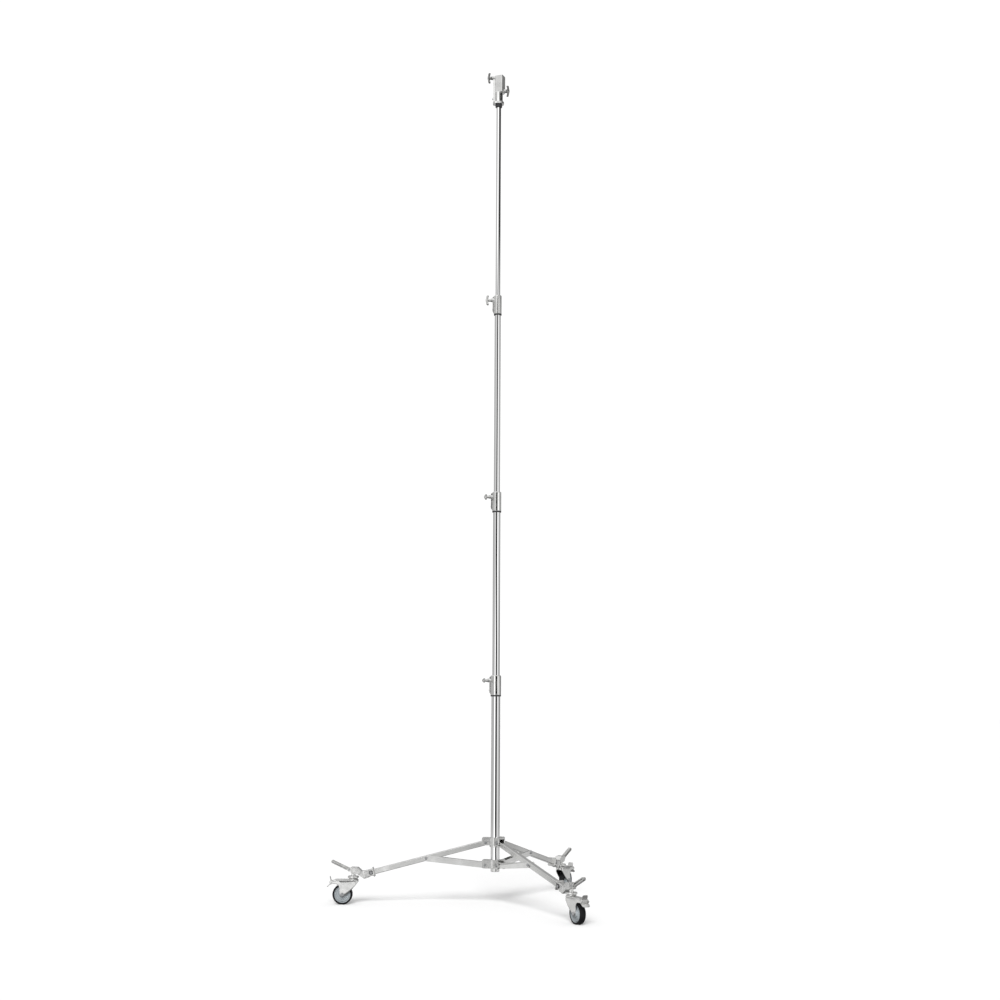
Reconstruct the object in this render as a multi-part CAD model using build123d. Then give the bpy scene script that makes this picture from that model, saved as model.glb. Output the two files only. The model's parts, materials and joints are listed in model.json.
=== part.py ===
from build123d import *
import os
from math import cos, radians, sin

# A chrome-plated steel roller stand for studio lights: three telescopic risers in a column,
# three braced folding legs on a low base, a braked swivel caster under each leg and a socket
# head with two screw handles on top. Millimetres, +Z up, floor at Z = 0, column axis on Z.
os.makedirs("parts", exist_ok=True)

RUN = 0.08                       # radial clearance of a running or sliding fit
GAP = 0.5                        # clearance between neighbours that only pass each other
OVER = 1.0                       # how far a cutting shape runs past the face that it cuts

# Telescopic tubes, from the column up: outer diameters and wall
TUBE_D = [45.0, 38.0, 32.0, 25.0]
WALL = 2.0
ENGAGE = 58.0                    # how far a riser's foot reaches below the top of the tube under it
FOOT_GUIDE = ENGAGE - OVER       # length of the swaged guide at a riser's foot, which is also its stop
COLUMN_BOTTOM = 181.0
CAP_RIM = 17.0                   # foot cap below the column, and its plug inside
CAP_PLUG = 18.0
CAP_FLUTES = 16
CAP_FLUTE_R = 2.0

# Clamp collars pressed on the tube ends
COLLAR_BOTTOM = [1037.0, 1981.0, 3024.0]
COLLAR_H = 107.0
COLLAR_STEP = 45.0               # collar top to the end of the tube it is pressed on
COLLAR_WALL = 4.0
COLLAR_CHAMFER = 3.0
RING_H = 7.0
RIB_OUT = 12.0                   # clamp rib: reach beyond the tube, half width, slope heights
RIB_HALF_W = 8.0
RIB_SLOPE_LOW = 16.0
RIB_SLOPE_TOP = 10.0
BOSS_R = 10.0                    # screw boss
PINCH_R = 4.0                    # small boss low on the rib
PINCH_UP = 24.0
SCREW_DROP = 26.0                # collar top to the handle screw

# T-handles: screw, tapered boss, bar; turn of each bar about its screw in degrees
SCREW_R = 5.0
HANDLE_BOSS = (9.0, 6.0)
HANDLE_HALF_T = 6.0
HANDLE_SEAT = 15.5               # collar handles: seat beyond the tube's surface, reach of the bar
HANDLE_REACH = 26.0
HANDLE_ANGLES = [80.0, 65.0, 20.0]
UPPER_HANDLE = (36.5, 18.0, 5.0)     # head handles: seat radius, reach, angle
LOWER_HANDLE = (38.5, 12.0, 10.0)

# Socket head
HEAD_BOTTOM = 4160.0
HEAD_TOP = 4336.0
HEAD_SEAT = 70.0                 # how deep the top riser sits in the head
HEAD_RING_H = 18.0
HEAD_RING_R = 18.0
NECK_R = 21.5
SOCKET_R = 14.4
SOCKET_DEPTH = 86.0
BLOCK_BOTTOM = 4243.0
BLOCK_CORNERS = [(-20, -11), (18, -28), (34, 11), (26, 25), (-20, 25)]     # plan of the block
BLOCK_ROUND = 2.5
FLANGE_X = (-32.0, 28.0)         # flange at the head's foot
FLANGE_HALF_W = 24.0
FLANGE_ROUND = 20.0
FLANGE_TOP = HEAD_BOTTOM + 30
RIB_X = -31.0                    # outer face of the head's clamp rib, and half its width
HEAD_RIB_HALF_W = 7.0
UPPER_BOSS_X = -36.0             # faces of the two screw bosses
LOWER_BOSS_X = 38.0
BOSS_ROOT = 15.0                 # where the bosses start inside the block
HEAD_PINCH_R = 6.0
UPPER_SCREW_Z = 4325.0
LOWER_SCREW_Z = 4253.0
PINCH_Z = HEAD_BOTTOM + 50

# Base: two collars, three legs 120 degrees apart and their braces
LEG_AZIMUTHS = [180.0, -60.0, 60.0]
HUB_Z = (286.0, 333.0)
HUB_R = 28.5
HUB_HOOD_T = 5.0                 # roof over each leg's slot
HUB_PIVOT = (47.0, 307.0)        # leg pivot: radius, height
LOWER_Z = (181.0, 223.0)
LOWER_R = 29.0
BRACE_PIVOT = (50.0, 197.0)      # brace pivot: radius, height
CLEVIS_START = 31.0
CLEVIS_END = 67.0
EAR = 6.0
PIN_R = 4.0
PIN_HEAD = (7.0, 3.5)            # radius and height of a pivot pin's head
KNOB_AZIMUTH = 120.0             # the lock knob sits between two legs
KNOB_BOSS_R = 9.0
KNOB_SCREW_R = 4.0
KNOB_SPAN = (40.0, 56.0)
KNOB_R = 14.0

# Legs and braces
LEG_DROP = 14.6                  # slope of the leg below the horizontal, degrees
LEG_SECTION = 25.0
LEG_ROUND = 3.0
JOINT_S = 309.0                  # leg pivot to brace joint, along the leg
LEG_HEAD_S = -13.0
LEG_END_S = 618.0
BRACE_H = 28.0
BRACE_T = 3.0
BRACE_OPEN_IN = 52.0             # length of the open fork ends of the brace channel, at the
BRACE_OPEN_OUT = 70.0            # collar and at the leg
RIVET_HEAD = (7.5, 3.5)

# Cast gooseneck foot and its lever, in the leg's plane: radius from the column axis and height
FLANGE_S = 577.0
FLANGE_T = 7.0
FLANGE_HALF = 22.5
SOCKET_WALL = 4.0
ARM_HALF_W = 15.5
KNUCKLE_HALF_W = 18.0
CROSS_SCREW_S = 594.0
HEX_HEAD = (8.0, 5.5)
STEM_R = 711.0                   # swivel axis radius
KNUCKLE_Z = (154.0, 184.0)
STEM_TOP = 176.0
LEVER_PIVOT = (732.0, 171.0)
LEVER_PIN_R = 3.0
LEVER_EAR = (9.0, 4.0)           # radius and thickness of the ears that hold the lever
LEVER_TILT = 25.0
LEVER_L = 91.0
LEVER_H = 16.0
LEVER_T = 15.0
LEVER_RIM = 4.0                  # width of the rim round the lever's side grooves
LEVER_WEB = 1.5                  # half thickness left between the grooves

# Caster: 100 mm wheel, 140 mm high; distances from the swivel axis along the trail, and heights
WHEEL_R = 50.0
CORE_R = 44.5
TYRE_W = 30.0
TYRE_ROUND = 5.0
TRAIL = 53.0
PLATE_Z = (130.0, 140.0)
PLATE_R = 28.0
CROWN_Z = 124.0
CROWN_R = 26.0
RACE_R = 22.0
STEM_POST_R = 10.5
KING_R = 6.0
FORK_IN = 18.0                   # half the gap between the fork's cheeks
FORK_T = 3.0
FORK_OUT = FORK_IN + FORK_T
FORK_ROOF = 4.0
FORK_FOOT_R = 12.0
AXLE_R = 6.0
AXLE_HEAD = (8.5, 4.0)
NOSE_X = 118.0                   # front end of the fork
NOSE_OPEN_X = 98.0
PEDAL_PIVOT = (110.0, 110.0)
PEDAL_SHAFT_R = 3.0
PEDAL_ROLLER_R = 5.5
FLAP_START = (108.0, 97.0)       # foot plate of the pedal
FLAP_L = 26.0
FLAP_TILT = 42.0
TAB_L = 30.0
TAB_TILT = -78.0


# ---------------------------------------------------------------- basic shapes
def rod(radius, low, high):
    """Upright cylinder on the Z axis between two heights."""
    return Pos(0, 0, low) * Cylinder(radius, high - low, align=(Align.CENTER, Align.CENTER, Align.MIN))


def rod_x(radius, start, end, y=0.0, z=0.0):
    """Cylinder along X from start to end."""
    return Pos(start, y, z) * Rot(0, 90, 0) * rod(radius, 0, end - start)


def rod_y(radius, x, z, start, end):
    """Cylinder along Y from start to end, through (x, z)."""
    return Pos(x, start, z) * Rot(-90, 0, 0) * rod(radius, 0, end - start)


def drill_y(radius, x, z, reach):
    """Cutting cylinder along Y that runs past both faces at -reach and reach."""
    return rod_y(radius, x, z, -reach - OVER, reach + OVER)


def heads_y(size, x, z, face):
    """Two round heads of a (radius, height) size on the faces at -face and face."""
    radius, height = size
    return rod_y(radius, x, z, face, face + height) + rod_y(radius, x, z, -face - height, -face)


def block(x, y, z):
    """Box given as three (low, high) pairs."""
    size = [high - low for low, high in (x, y, z)]
    centre = [(high + low) / 2 for low, high in (x, y, z)]
    return Pos(*centre) * Box(*size)


def mid_block(x, half_w, z):
    """Box that is centred on the XZ plane."""
    return block(x, (-half_w, half_w), z)


def plate_xz(outline, half_w):
    """Outline in the XZ plane, extruded the same way to both sides."""
    face = make_face(Polyline(*outline, close=True))
    return Pos(0, -half_w, 0) * extrude(Rot(90, 0, 0) * face, amount=2 * half_w, dir=(0, 1, 0))


def round_edges(shape, axis, radius):
    """Round the straight edges that run along an axis."""
    return fillet(shape.edges().filter_by(axis), radius)


def lowest_rim(shape):
    return shape.faces().sort_by(Axis.Z)[0].edges()


def around_column(shape, azimuth):
    """Turn a shape made at azimuth 0 about the column."""
    return Rot(0, 0, azimuth) * shape


def save(shape, name):
    export_step(shape, f"parts/{name}.step")


def leg_point(s):
    """Point on the leg's centre line, s along it from the hub pivot: radius, height."""
    return HUB_PIVOT[0] + s * cos(radians(LEG_DROP)), HUB_PIVOT[1] - s * sin(radians(LEG_DROP))


def along_leg(shape):
    """Place a shape made along +X at the hub pivot on the sloping leg."""
    return Pos(HUB_PIVOT[0], 0, HUB_PIVOT[1]) * Rot(0, LEG_DROP, 0) * shape


# ---------------------------------------------------------------- telescopic column
def collar_top(index):
    return COLLAR_BOTTOM[index] + COLLAR_H


def tube_span(index):
    """Lowest and highest point of tube 0 (column) to 3 (top riser)."""
    low = COLUMN_BOTTOM if index == 0 else collar_top(index - 1) - COLLAR_STEP - ENGAGE
    high = HEAD_BOTTOM + HEAD_SEAT if index == 3 else collar_top(index) - COLLAR_STEP
    return low, high


def make_tube(index):
    """Round tube. A riser's foot is swaged out to slide in the tube below."""
    low, high = tube_span(index)
    outer = TUBE_D[index] / 2
    tube = rod(outer, low, high)
    if index:
        guide_r = TUBE_D[index - 1] / 2 - WALL - RUN
        tube += rod(guide_r, low, low + FOOT_GUIDE)
    return tube - rod(outer - WALL, low - OVER, high + OVER)


def make_foot_cap():
    """Plastic plug in the column's foot with a fluted, chamfered rim."""
    rim_r = TUBE_D[0] / 2
    low = COLUMN_BOTTOM - CAP_RIM
    cap = rod(rim_r, low, COLUMN_BOTTOM) + rod(rim_r - WALL, COLUMN_BOTTOM, COLUMN_BOTTOM + CAP_PLUG)
    cap = chamfer(lowest_rim(cap), 2)
    for step in range(CAP_FLUTES):
        flute = Pos(rim_r, 0, 0) * rod(CAP_FLUTE_R, low - OVER, COLUMN_BOTTOM - OVER)
        cap -= around_column(flute, step * 360 / CAP_FLUTES)
    return cap


def make_collar(index):
    """Clamp collar pressed on a tube's top: sleeve, clamp rib, screw boss and small pinch boss."""
    low, top = COLLAR_BOTTOM[index] + RING_H, collar_top(index)
    tube_r, riser_r = TUBE_D[index] / 2, TUBE_D[index + 1] / 2
    sleeve_r = tube_r + COLLAR_WALL
    rib_r = tube_r + RIB_OUT
    screw_z = top - SCREW_DROP
    sleeve = rod(sleeve_r, low, top)
    sleeve = chamfer(sleeve.faces().sort_by(Axis.Z)[-1].edges(), COLLAR_CHAMFER)
    outline = [(0, low + OVER), (-sleeve_r, low + OVER), (-rib_r, low + RIB_SLOPE_LOW),
               (-rib_r, top - RIB_SLOPE_TOP), (-sleeve_r + COLLAR_CHAMFER, top - 2), (0, top - 2)]
    rib = round_edges(plate_xz(outline, RIB_HALF_W), Axis.Z, 3)
    boss = rod_x(BOSS_R, -rib_r - 3, 0, z=screw_z) + rod_x(PINCH_R, -rib_r - 1.5, 0, z=low + PINCH_UP)
    body = sleeve + rib + boss
    body -= rod(tube_r, low - OVER, top - COLLAR_STEP)
    body -= rod(riser_r + RUN, low - OVER, top + OVER)
    return body - rod_x(SCREW_R, -rib_r - BOSS_R, 0, z=screw_z)


def make_collar_ring(index):
    """Plastic ring under a collar."""
    tube_r = TUBE_D[index] / 2
    low = COLLAR_BOTTOM[index]
    ring = fillet(lowest_rim(rod(tube_r + COLLAR_WALL + GAP, low, low + RING_H)), 2)
    return ring - rod(tube_r, low - OVER, low + RING_H + OVER)


def t_handle(tip, seat, reach, angle):
    """Cast T-handle on a screw along -X: the screw starts at radius tip, the boss at seat."""
    bar_x = seat + reach
    screw = rod_x(SCREW_R, -bar_x, -tip)
    taper = Cone(*HANDLE_BOSS, reach - 3, align=(Align.CENTER, Align.CENTER, Align.MIN))
    boss = Pos(-seat, 0, 0) * Rot(0, -90, 0) * taper
    upper = [(-bar_x - 6, 29), (-bar_x - 1, 30), (-bar_x + 4, 14)]
    lower = [(x, -z) for x, z in reversed(upper)]
    grip = round_edges(plate_xz([(-bar_x - 4, 0)] + upper + lower, HANDLE_HALF_T), Axis.Y, 1.5)
    return Rot(angle, 0, 0) * (screw + boss + grip)


def make_head():
    """Socket head: bored block over a neck, clamp rib, screw bosses and a foot flange."""
    ring_top = HEAD_BOTTOM + HEAD_RING_H
    head = rod(NECK_R, ring_top, BLOCK_BOTTOM + OVER)
    flange = mid_block(FLANGE_X, FLANGE_HALF_W, (ring_top, FLANGE_TOP))
    head += round_edges(flange, Axis.Z, FLANGE_ROUND)
    plan = make_face(Polyline(*BLOCK_CORNERS, close=True))
    body = extrude(plan, amount=HEAD_TOP - BLOCK_BOTTOM)
    head += Pos(0, 0, BLOCK_BOTTOM) * round_edges(body, Axis.Z, BLOCK_ROUND)
    head += mid_block((RIB_X, 0), HEAD_RIB_HALF_W, (ring_top + 2, UPPER_SCREW_Z + 6))
    head += rod_x(BOSS_R, UPPER_BOSS_X, -BOSS_ROOT, z=UPPER_SCREW_Z)
    head += rod_x(BOSS_R, BOSS_ROOT, LOWER_BOSS_X, z=LOWER_SCREW_Z)
    head += rod_x(HEAD_PINCH_R, RIB_X - 4, -BOSS_ROOT, z=PINCH_Z)
    head -= rod(TUBE_D[3] / 2, HEAD_BOTTOM, HEAD_BOTTOM + HEAD_SEAT)
    head -= rod(SOCKET_R, HEAD_TOP - SOCKET_DEPTH, HEAD_TOP + OVER)
    head -= rod_x(SCREW_R, UPPER_BOSS_X - OVER, 0, z=UPPER_SCREW_Z)
    return head - rod_x(SCREW_R, 0, LOWER_BOSS_X + OVER, z=LOWER_SCREW_Z)


def make_head_ring():
    """Plastic ring between the head and the top riser."""
    ring = chamfer(lowest_rim(rod(HEAD_RING_R, HEAD_BOTTOM, HEAD_BOTTOM + HEAD_RING_H)), 3)
    return ring - rod(TUBE_D[3] / 2, HEAD_BOTTOM - OVER, HEAD_TOP)


def make_column():
    for index, name in enumerate(["column_tube", "riser_1_tube", "riser_2_tube", "riser_3_tube"]):
        save(make_tube(index), name)
    save(make_foot_cap(), "column_foot_cap")
    for index, angle in enumerate(HANDLE_ANGLES):
        name = f"collar_{index + 1}"
        save(make_collar(index), name)
        save(make_collar_ring(index), f"{name}_ring")
        tip = TUBE_D[index + 1] / 2 + GAP
        handle = t_handle(tip, TUBE_D[index] / 2 + HANDLE_SEAT, HANDLE_REACH, angle)
        save(Pos(0, 0, collar_top(index) - SCREW_DROP) * handle, f"{name}_handle")
    save(make_head(), "head_casting")
    save(make_head_ring(), "head_ring")
    tip = SOCKET_R + GAP
    save(Pos(0, 0, UPPER_SCREW_Z) * t_handle(tip, *UPPER_HANDLE), "head_upper_handle")
    save(Pos(0, 0, LOWER_SCREW_Z) * Rot(0, 0, 180) * t_handle(tip, *LOWER_HANDLE), "head_lower_handle")


# ---------------------------------------------------------------- base collars
def clevis_arm(half_gap, low, high, corner):
    """One clevis along +X: a block with rounded outer corners, still to be slotted."""
    arm = mid_block((0, CLEVIS_END), half_gap + EAR, (low, high))
    tip = arm.edges().filter_by(Axis.Y).sort_by(Axis.X)[-2:]
    return fillet(tip, corner)


def clevis_slot(start, half_gap, low, high):
    """Cutting block for a slot that is open outwards."""
    return mid_block((start, CLEVIS_END + OVER), half_gap, (low, high))


def make_lower_collar():
    """Fixed collar at the column's foot with a clevis for each brace."""
    low, high = LOWER_Z
    half_gap = LEG_SECTION / 2 + GAP + BRACE_T + GAP
    body = rod(LOWER_R, low, high)
    for azimuth in LEG_AZIMUTHS:
        body += around_column(clevis_arm(half_gap, low, high, 12), azimuth)
    for azimuth in LEG_AZIMUTHS:
        body -= around_column(clevis_slot(CLEVIS_START, half_gap, low - OVER, high + OVER), azimuth)
        body -= around_column(drill_y(PIN_R, *BRACE_PIVOT, half_gap + EAR), azimuth)
    return body - rod(TUBE_D[0] / 2, low - OVER, high + OVER)


def make_hub():
    """Sliding upper collar: a hooded clevis for each leg and a boss for the lock knob."""
    low, high = HUB_Z
    half_gap = LEG_SECTION / 2 + GAP
    body = rod(HUB_R, low, high)
    for azimuth in LEG_AZIMUTHS:
        body += around_column(clevis_arm(half_gap, low + 9, high, 9), azimuth)
    knob_z = (low + high) / 2
    body += around_column(rod_x(KNOB_BOSS_R, 0, 34, z=knob_z), KNOB_AZIMUTH)
    for azimuth in LEG_AZIMUTHS:
        slot = clevis_slot(CLEVIS_START - 2, half_gap, low - OVER, high - HUB_HOOD_T)
        body -= around_column(slot, azimuth)
        body -= around_column(drill_y(PIN_R, *HUB_PIVOT, half_gap + EAR), azimuth)
    body -= around_column(rod_x(KNOB_SCREW_R, 0, KNOB_SPAN[0], z=knob_z), KNOB_AZIMUTH)
    return body - rod(TUBE_D[0] / 2 + RUN, low - OVER, high + OVER)


def pivot_pins(pivot, half_gap):
    """Headed pivot pins, one for each leg."""
    face = half_gap + EAR
    pin = rod_y(PIN_R, *pivot, -face - 2, face + 2) + heads_y(PIN_HEAD, *pivot, face)
    return Compound(children=[around_column(pin, azimuth) for azimuth in LEG_AZIMUTHS])


def make_hub_knob():
    """Five-lobed lock knob on a screw."""
    low, high = KNOB_SPAN
    knob = rod_x(KNOB_SCREW_R, TUBE_D[0] / 2 + GAP, low + 10) + rod_x(8, 34.5, low)
    grip = rod_x(KNOB_R, low, high)
    for step in range(5):
        turn = radians(72 * step)
        y, z = (KNOB_R + 2) * cos(turn), (KNOB_R + 2) * sin(turn)
        grip -= rod_x(5, low - OVER, high + OVER, y=y, z=z)
    return around_column(Pos(0, 0, sum(HUB_Z) / 2) * (knob + grip), KNOB_AZIMUTH)


def make_base():
    save(make_lower_collar(), "lower_collar")
    save(pivot_pins(BRACE_PIVOT, LEG_SECTION / 2 + 2 * GAP + BRACE_T), "lower_collar_pins")
    save(make_hub(), "hub")
    save(pivot_pins(HUB_PIVOT, LEG_SECTION / 2 + GAP), "hub_pins")
    save(make_hub_knob(), "hub_knob")


# ---------------------------------------------------------------- legs, in the plane of azimuth 0
def square_bar(start, end, half, corner):
    """Square bar along X with rounded edges."""
    return round_edges(mid_block((start, end), half, (-half, half)), Axis.X, corner)


def make_leg_tube():
    """Square leg tube, cross-drilled at the hub pivot, the brace joint and the foot."""
    half = LEG_SECTION / 2
    tube = square_bar(LEG_HEAD_S, LEG_END_S, half, LEG_ROUND)
    tube -= square_bar(LEG_HEAD_S - OVER, LEG_END_S + OVER, half - WALL, LEG_ROUND - WALL)
    tube -= drill_y(PIN_R + RUN, 0, 0, half) + drill_y(PIN_R + OVER, JOINT_S, 0, half)
    return along_leg(tube - drill_y(PIN_R, CROSS_SCREW_S, 0, half))


def brace_line():
    """Length and rise (degrees) of the brace from its collar pivot to the leg joint."""
    span = Vector(*leg_point(JOINT_S)) - Vector(*BRACE_PIVOT)
    return span.length, Vector(1, 0).get_angle(span)


def make_brace():
    """Channel brace: two cheeks with rounded ends, joined by a web between the open forks."""
    length, rise = brace_line()
    half = BRACE_H / 2
    inner = LEG_SECTION / 2 + GAP
    outer = inner + BRACE_T
    start, end = -half - OVER, length + half + OVER
    brace = mid_block((0, length), outer, (-half, half))
    brace += rod_y(half, 0, 0, -outer, outer) + rod_y(half, length, 0, -outer, outer)
    brace -= mid_block((start, end), inner, (-half + BRACE_T, half + OVER))
    brace -= mid_block((start, BRACE_OPEN_IN), inner, (-half - OVER, half + OVER))
    brace -= mid_block((length - BRACE_OPEN_OUT, end), inner, (-half - OVER, half + OVER))
    brace -= drill_y(PIN_R + RUN, 0, 0, outer) + drill_y(PIN_R, length, 0, outer)
    return Pos(BRACE_PIVOT[0], 0, BRACE_PIVOT[1]) * Rot(0, -rise, 0) * brace


def make_joint_rivets():
    """Two headed rivets in the brace's outer fork end, clear of the leg between them."""
    inner = LEG_SECTION / 2 + GAP
    outer = inner + BRACE_T
    place = leg_point(JOINT_S)
    head_r, head_h = RIVET_HEAD
    near = rod_y(PIN_R, *place, inner, outer + OVER) + rod_y(head_r, *place, outer, outer + head_h)
    return Compound(children=[near, mirror(near, Plane.XZ)])


def make_foot():
    """Cast gooseneck: square socket for the leg, cranked arm and a bored knuckle for the stem."""
    half_socket = LEG_SECTION / 2
    wall_half = half_socket + SOCKET_WALL
    arm = square_bar(FLANGE_S, LEG_END_S + 12, wall_half, LEG_ROUND)
    arm += square_bar(FLANGE_S, FLANGE_S + FLANGE_T, FLANGE_HALF, 7)
    crank = [(leg_point(FLANGE_S + 30)[0], 166), (668, 166), (686, 178), (700, 178), (700, 155),
             (690, 150), (655, 126), (leg_point(FLANGE_S + 20)[0], 136)]
    knuckle = [(669, 168), (686, 183), (722, 184), (724, 158), (718, 152), (688, 149), (676, 150)]
    casting = along_leg(arm)
    casting += round_edges(plate_xz(crank, ARM_HALF_W), Axis.Y, 3)
    casting += round_edges(plate_xz(knuckle, KNUCKLE_HALF_W), Axis.Y, 3)
    ear_r, ear_t = LEVER_EAR
    ear_in = LEVER_T / 2 + GAP
    x, z = LEVER_PIVOT
    ear = block((STEM_R + 8, x), (ear_in, ear_in + ear_t), (z - ear_r, z + ear_r))
    ear += rod_y(ear_r, x, z, ear_in, ear_in + ear_t)
    ear -= drill_y(LEVER_PIN_R, x, z, ear_in + ear_t)
    casting += ear + mirror(ear, Plane.XZ)
    socket = square_bar(FLANGE_S - OVER, LEG_END_S, half_socket, LEG_ROUND)
    casting -= along_leg(socket + drill_y(PIN_R, CROSS_SCREW_S, 0, wall_half))
    return casting - Pos(STEM_R, 0, 0) * rod(STEM_POST_R, KNUCKLE_Z[0] - 10, STEM_TOP)


def make_foot_fasteners():
    """Hexagon-headed cross screw of the leg socket and the pin of the lever."""
    hex_r, hex_h = HEX_HEAD
    wall_half = LEG_SECTION / 2 + SOCKET_WALL
    head = extrude(RegularPolygon(hex_r, 6), amount=hex_h)
    screw = rod_y(PIN_R, CROSS_SCREW_S, 0, -wall_half - OVER, wall_half + OVER)
    screw += Pos(CROSS_SCREW_S, -wall_half, 0) * Rot(90, 0, 0) * head
    screw += Pos(CROSS_SCREW_S, wall_half, 0) * Rot(-90, 0, 0) * head
    ear_out = LEVER_T / 2 + GAP + LEVER_EAR[1]
    pin = rod_y(LEVER_PIN_R, *LEVER_PIVOT, -ear_out - OVER, ear_out + OVER)
    pin += heads_y((LEVER_PIN_R + 2, 2), *LEVER_PIVOT, ear_out)
    return Compound(children=[along_leg(screw), pin])


def make_lever():
    """Long clamp lever with a groove along each side and rounded ends."""
    half_h, half_t = LEVER_H / 2, LEVER_T / 2
    groove_h = half_h - LEVER_RIM
    lever = mid_block((0, LEVER_L), half_t, (-half_h, half_h))
    lever += rod_y(half_h, 0, 0, -half_t, half_t) + rod_y(half_h, LEVER_L, 0, -half_t, half_t)
    groove = block((LEVER_H, LEVER_L), (LEVER_WEB, half_t + OVER), (-groove_h, groove_h))
    groove += rod_y(groove_h, LEVER_L, 0, LEVER_WEB, half_t + OVER)
    lever -= groove + mirror(groove, Plane.XZ)
    lever -= drill_y(LEVER_PIN_R + RUN, 0, 0, half_t)
    return Pos(LEVER_PIVOT[0], 0, LEVER_PIVOT[1]) * Rot(0, -LEVER_TILT, 0) * lever


# ---------------------------------------------------------------- casters, swivel axis on Z, trail along +X
def make_stem():
    """Stem post, top race plate and king pin in one turned piece."""
    plate = fillet(rod(PLATE_R, *PLATE_Z).edges().filter_by(GeomType.CIRCLE), 2.5)
    post = rod(STEM_POST_R, PLATE_Z[1] - OVER, STEM_TOP)
    return plate + post + rod(KING_R, CROWN_Z - 14, PLATE_Z[0] + OVER)


def make_fork():
    """Pressed fork: crown with a raised race, two cheeks and a hood over the wheel."""
    top = CROWN_Z
    side = [(-25, top), (-25, 113), (2, 80), (42, 44), (64, 44), (66, 54), (67, 82), (74, 96), (88, 102),
            (NOSE_X, 98), (NOSE_X, 116), (94, top), (20, top)]
    fork = plate_xz(side, FORK_OUT) + rod_y(FORK_FOOT_R, TRAIL, WHEEL_R, -FORK_OUT, FORK_OUT)
    fork += rod(CROWN_R, top - 9, top)
    fork -= mid_block((-CROWN_R + FORK_T, NOSE_X + OVER), FORK_IN, (0, top - FORK_ROOF))
    fork -= mid_block((NOSE_OPEN_X, NOSE_X + OVER), FORK_IN, (90, top + OVER))
    fork += rod(RACE_R, top - OVER, PLATE_Z[0] - 0.4)
    fork -= rod(KING_R + RUN, top - 12, PLATE_Z[0])
    fork -= drill_y(AXLE_R, TRAIL, WHEEL_R, FORK_OUT)
    return fork - drill_y(PEDAL_SHAFT_R, *PEDAL_PIVOT, FORK_OUT)


def make_wheel_core():
    """Moulded wheel centre with a recessed web, a hub and a running bore."""
    hub_end = FORK_IN - 0.6
    core = rod_y(CORE_R, 0, 0, -12, 12) + rod_y(14, 0, 0, -hub_end, hub_end)
    recess = rod_y(CORE_R - 6, 0, 0, 9, 13) - rod_y(15, 0, 0, 9, 13)
    core -= recess + mirror(recess, Plane.XZ)
    return Pos(TRAIL, 0, WHEEL_R) * (core - drill_y(AXLE_R + RUN, 0, 0, hub_end))


def make_tyre():
    """Rubber tyre with rounded shoulders."""
    tyre = rod_y(WHEEL_R, 0, 0, -TYRE_W / 2, TYRE_W / 2)
    tyre = fillet(tyre.edges().filter_by(GeomType.CIRCLE), TYRE_ROUND)
    return Pos(TRAIL, 0, WHEEL_R) * (tyre - drill_y(CORE_R, 0, 0, TYRE_W / 2))


def make_axle():
    """Axle bolt with a head and a nut outside the cheeks."""
    axle = rod_y(AXLE_R, TRAIL, WHEEL_R, -FORK_OUT - OVER, FORK_OUT + OVER)
    return axle + heads_y(AXLE_HEAD, TRAIL, WHEEL_R, FORK_OUT)


def make_pedal():
    """Brake pedal: cross shaft in the cheeks, web, down-turned foot plate and release tab."""
    x, z = PEDAL_PIVOT
    pedal = rod_y(PEDAL_SHAFT_R - RUN, x, z, -FORK_OUT, FORK_OUT)
    pedal += rod_y(PEDAL_ROLLER_R, x, z, -FORK_IN + GAP, FORK_IN - GAP)
    pedal += mid_block((x - 1.5, x + 1.5), FORK_IN - 2, (FLAP_START[1] - 4, z))
    flap = round_edges(mid_block((0, FLAP_L), FORK_OUT, (-1.5, 1.5)), Axis.Z, 4)
    pedal += Pos(FLAP_START[0] - 3, 0, FLAP_START[1]) * Rot(0, FLAP_TILT, 0) * flap
    tab = round_edges(mid_block((0, TAB_L), FORK_IN - GAP, (-1.25, 1.25)), Axis.Z, 4)
    return pedal + Pos(x, 0, z) * Rot(0, TAB_TILT, 0) * tab


def make_legs():
    leg_pieces = {
        "leg_{}_tube": make_leg_tube(),
        "leg_{}_brace": make_brace(),
        "leg_{}_joint_rivets": make_joint_rivets(),
        "leg_{}_foot_casting": make_foot(),
        "leg_{}_foot_fasteners": make_foot_fasteners(),
        "leg_{}_lever": make_lever(),
    }
    caster_pieces = {
        "caster_{}_stem": make_stem(),
        "caster_{}_fork": make_fork(),
        "caster_{}_wheel_core": make_wheel_core(),
        "caster_{}_tyre": make_tyre(),
        "caster_{}_axle": make_axle(),
        "caster_{}_brake_pedal": make_pedal(),
    }
    for number, azimuth in enumerate(LEG_AZIMUTHS, start=1):
        for name, piece in leg_pieces.items():
            save(around_column(piece, azimuth), name.format(number))
        for name, piece in caster_pieces.items():
            save(around_column(Pos(STEM_R, 0, 0) * piece, azimuth), name.format(number))


make_column()
make_base()
make_legs()
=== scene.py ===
import json
import math

import bmesh
import bpy
from mathutils import Matrix, Vector


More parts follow.
